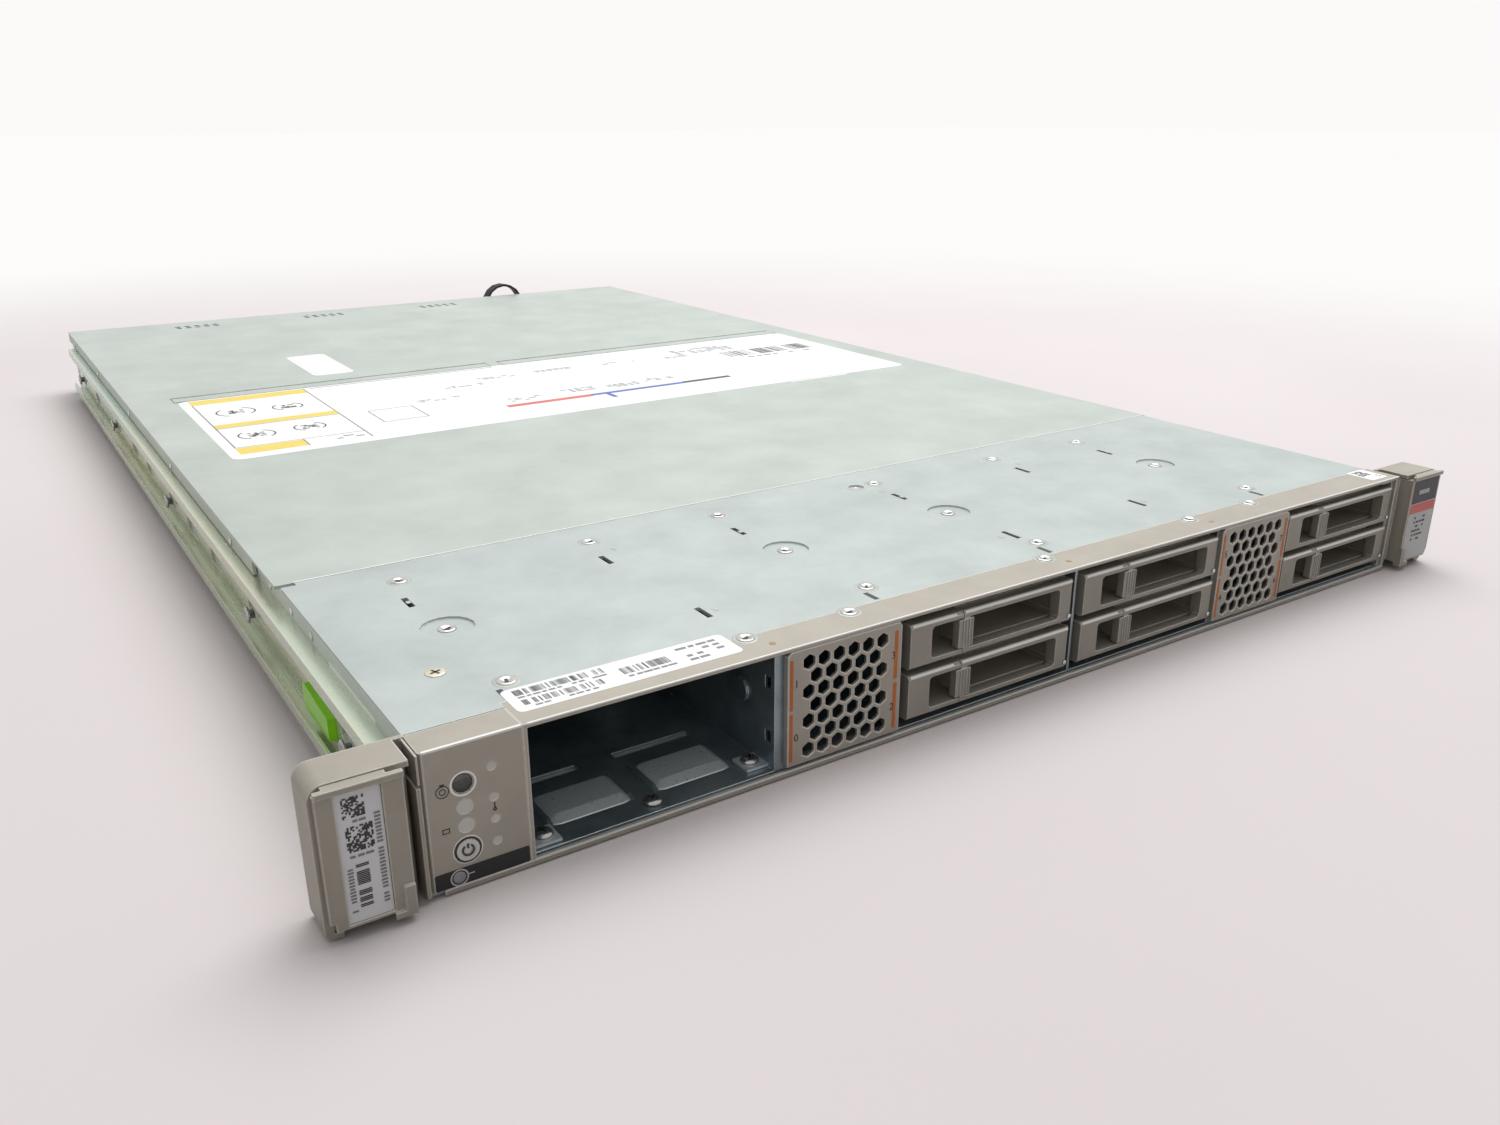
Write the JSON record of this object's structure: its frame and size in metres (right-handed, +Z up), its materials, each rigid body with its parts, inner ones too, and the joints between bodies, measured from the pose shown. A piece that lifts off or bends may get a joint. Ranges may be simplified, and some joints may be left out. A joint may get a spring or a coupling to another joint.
{
  "type": "rack server",
  "caption": "One-unit rack server: shallow steel box with rack ears, drive fillers, vent plates, side rails, lift-off cover, fans and two slide-in power supplies.",
  "frame": {"origin": "middle of the underside of the steel base, halfway along and across", "axes": "+X to the right as seen from the front, +Y from the front face to the rear, +Z up"},
  "size_m": [0.4892, 0.7536, 0.0515],
  "materials": {
    "zinc": "satin",
    "bezel_paint": "satin",
    "bezel_plastic": "matte",
    "filler_plastic": "matte",
    "black_plastic": "matte",
    "green_plastic": "gloss",
    "white_card": "matte",
    "lens": "gloss",
    "button_face": "gloss",
    "board": "satin",
    "fin": "satin",
    "shell": "gloss",
    "rail_steel": "satin",
    "pin_steel": "satin",
    "duct_plastic": "satin",
    "strap_webbing": "matte"
  },
  "bodies": {
    "chassis": {"air_duct": "duct_plastic", "backplane_connectors": "black_plastic", "chassis_base": "zinc", "control_panel": "bezel_plastic", "drive_backplane": "board", "drive_cage": "zinc", "fan_frame_1": "black_plastic", "fan_frame_2": "black_plastic", "fan_frame_3": "black_plastic", "fan_frame_4": "black_plastic", "front_frame": "bezel_paint", "front_top_panel": "zinc", "heatsinks": "fin", "indicator_lights": "lens", "latch_pins": "pin_steel", "left_ear": "bezel_plastic", "left_rail": "rail_steel", "memory_modules": "board", "motherboard": "board", "port_sockets": "shell", "rear_panel": "zinc", "right_ear": "bezel_plastic", "right_rail": "rail_steel", "slot_covers": "zinc", "vent_plate_left": "bezel_paint", "vent_plate_right": "bezel_paint"},
    "filler_2": {"filler_2": "filler_plastic"},
    "filler_lever_2": {"filler_lever_2": "filler_plastic"},
    "filler_3": {"filler_3": "filler_plastic"},
    "filler_lever_3": {"filler_lever_3": "filler_plastic"},
    "filler_4": {"filler_4": "filler_plastic"},
    "filler_lever_4": {"filler_lever_4": "filler_plastic"},
    "filler_5": {"filler_5": "filler_plastic"},
    "filler_lever_5": {"filler_lever_5": "filler_plastic"},
    "filler_6": {"filler_6": "filler_plastic"},
    "filler_lever_6": {"filler_lever_6": "filler_plastic"},
    "filler_7": {"filler_7": "filler_plastic"},
    "filler_lever_7": {"filler_lever_7": "filler_plastic"},
    "power_button": {"power_button": "button_face"},
    "locate_button": {"locate_button": "button_face"},
    "left_latch": {"left_latch": "bezel_plastic", "tag_card": "white_card"},
    "right_latch": {"right_latch": "bezel_plastic"},
    "left_rail_tab": {"left_rail_tab": "green_plastic"},
    "right_rail_tab": {"right_rail_tab": "green_plastic"},
    "top_cover": {"top_cover": "zinc", "cover_skirts": "zinc"},
    "cover_latch_left": {"cover_latch_left": "zinc"},
    "cover_latch_right": {"cover_latch_right": "zinc"},
    "fan_rotor_1": {"fan_rotor_1": "black_plastic"},
    "fan_rotor_2": {"fan_rotor_2": "black_plastic"},
    "fan_rotor_3": {"fan_rotor_3": "black_plastic"},
    "fan_rotor_4": {"fan_rotor_4": "black_plastic"},
    "power_supply_1": {"power_supply_1": "zinc", "cord_strap": "strap_webbing"},
    "supply_handle_1": {"supply_handle_1": "pin_steel"},
    "supply_release_1": {"supply_release_1": "green_plastic"},
    "power_supply_2": {"power_supply_2": "zinc"},
    "supply_handle_2": {"supply_handle_2": "pin_steel"},
    "supply_release_2": {"supply_release_2": "green_plastic"}
  },
  "joints": [
    {"name": "filler_2_slide", "type": "slide", "parent": "chassis", "child": "filler_2", "axis": [0, -1, 0], "range_m": [0, 0.11]},
    {"name": "filler_lever_2_swing", "type": "hinge", "parent": "filler_2", "child": "filler_lever_2", "pos_m": [0.0148, -0.3663, 0.01275], "axis": [0, 0, 1], "range_deg": [0, 50]},
    {"name": "filler_3_slide", "type": "slide", "parent": "chassis", "child": "filler_3", "axis": [0, -1, 0], "range_m": [0, 0.11]},
    {"name": "filler_lever_3_swing", "type": "hinge", "parent": "filler_3", "child": "filler_lever_3", "pos_m": [0.0148, -0.3663, 0.03065], "axis": [0, 0, 1], "range_deg": [0, 50]},
    {"name": "filler_4_slide", "type": "slide", "parent": "chassis", "child": "filler_4", "axis": [0, -1, 0], "range_m": [0, 0.11]},
    {"name": "filler_lever_4_swing", "type": "hinge", "parent": "filler_4", "child": "filler_lever_4", "pos_m": [0.0946, -0.3663, 0.01275], "axis": [0, 0, 1], "range_deg": [0, 50]},
    {"name": "filler_5_slide", "type": "slide", "parent": "chassis", "child": "filler_5", "axis": [0, -1, 0], "range_m": [0, 0.11]},
    {"name": "filler_lever_5_swing", "type": "hinge", "parent": "filler_5", "child": "filler_lever_5", "pos_m": [0.0946, -0.3663, 0.03065], "axis": [0, 0, 1], "range_deg": [0, 50]},
    {"name": "filler_6_slide", "type": "slide", "parent": "chassis", "child": "filler_6", "axis": [0, -1, 0], "range_m": [0, 0.11]},
    {"name": "filler_lever_6_swing", "type": "hinge", "parent": "filler_6", "child": "filler_lever_6", "pos_m": [0.2132, -0.3663, 0.01275], "axis": [0, 0, 1], "range_deg": [0, 50]},
    {"name": "filler_7_slide", "type": "slide", "parent": "chassis", "child": "filler_7", "axis": [0, -1, 0], "range_m": [0, 0.11]},
    {"name": "filler_lever_7_swing", "type": "hinge", "parent": "filler_7", "child": "filler_lever_7", "pos_m": [0.2132, -0.3663, 0.03065], "axis": [0, 0, 1], "range_deg": [0, 50]},
    {"name": "power_button_press", "type": "slide", "parent": "chassis", "child": "power_button", "axis": [0, 1, 0], "range_m": [0, 0.0012], "stiffness_N_per_m": 400, "springref_m": -0.001},
    {"name": "locate_button_press", "type": "slide", "parent": "chassis", "child": "locate_button", "axis": [0, 1, 0], "range_m": [0, 0.0012], "stiffness_N_per_m": 400, "springref_m": -0.001},
    {"name": "left_latch_swing", "type": "hinge", "parent": "chassis", "child": "left_latch", "pos_m": [-0.2216, -0.3649, 0.0205], "axis": [0, 0, 1], "range_deg": [0, 18]},
    {"name": "left_rail_tab_slide", "type": "slide", "parent": "chassis", "child": "left_rail_tab", "axis": [0, -1, 0], "range_m": [0, 0.008], "stiffness_N_per_m": 300, "springref_m": -0.001},
    {"name": "right_latch_swing", "type": "hinge", "parent": "chassis", "child": "right_latch", "pos_m": [0.2216, -0.3649, 0.0205], "axis": [0, 0, -1], "range_deg": [0, 18]},
    {"name": "right_rail_tab_slide", "type": "slide", "parent": "chassis", "child": "right_rail_tab", "axis": [0, -1, 0], "range_m": [0, 0.008], "stiffness_N_per_m": 300, "springref_m": -0.001},
    {"name": "top_cover_lift", "type": "slide", "parent": "chassis", "child": "top_cover", "axis": [0, 0, 1], "range_m": [0, 0.06]},
    {"name": "cover_latch_left_swing", "type": "hinge", "parent": "top_cover", "child": "cover_latch_left", "pos_m": [-0.10485, 0.0905, 0.0406], "axis": [-1, 0, 0], "range_deg": [0, 60]},
    {"name": "cover_latch_right_swing", "type": "hinge", "parent": "top_cover", "child": "cover_latch_right", "pos_m": [0.0978, 0.0905, 0.0406], "axis": [-1, 0, 0], "range_deg": [0, 60]},
    {"name": "fan_rotor_1_spin", "type": "hinge", "parent": "chassis", "child": "fan_rotor_1", "pos_m": [-0.156, -0.1385, 0.0203], "axis": [0, 1, 0], "continuous": true},
    {"name": "fan_rotor_2_spin", "type": "hinge", "parent": "chassis", "child": "fan_rotor_2", "pos_m": [-0.052, -0.1385, 0.0203], "axis": [0, 1, 0], "continuous": true},
    {"name": "fan_rotor_3_spin", "type": "hinge", "parent": "chassis", "child": "fan_rotor_3", "pos_m": [0.052, -0.1385, 0.0203], "axis": [0, 1, 0], "continuous": true},
    {"name": "fan_rotor_4_spin", "type": "hinge", "parent": "chassis", "child": "fan_rotor_4", "pos_m": [0.156, -0.1385, 0.0203], "axis": [0, 1, 0], "continuous": true},
    {"name": "power_supply_1_slide", "type": "slide", "parent": "chassis", "child": "power_supply_1", "axis": [0, 1, 0], "range_m": [0, 0.196]},
    {"name": "supply_handle_1_swing", "type": "hinge", "parent": "power_supply_1", "child": "supply_handle_1", "pos_m": [0.0765, 0.3717, 0.0335], "axis": [1, 0, 0], "range_deg": [0, 90]},
    {"name": "supply_release_1_press", "type": "slide", "parent": "power_supply_1", "child": "supply_release_1", "axis": [-1, 0, 0], "range_m": [0, 0.003], "stiffness_N_per_m": 300, "springref_m": -0.001},
    {"name": "power_supply_2_slide", "type": "slide", "parent": "chassis", "child": "power_supply_2", "axis": [0, 1, 0], "range_m": [0, 0.196]},
    {"name": "supply_handle_2_swing", "type": "hinge", "parent": "power_supply_2", "child": "supply_handle_2", "pos_m": [0.1575, 0.3717, 0.0335], "axis": [1, 0, 0], "range_deg": [0, 90]},
    {"name": "supply_release_2_press", "type": "slide", "parent": "power_supply_2", "child": "supply_release_2", "axis": [-1, 0, 0], "range_m": [0, 0.003], "stiffness_N_per_m": 300, "springref_m": -0.001}
  ]
}
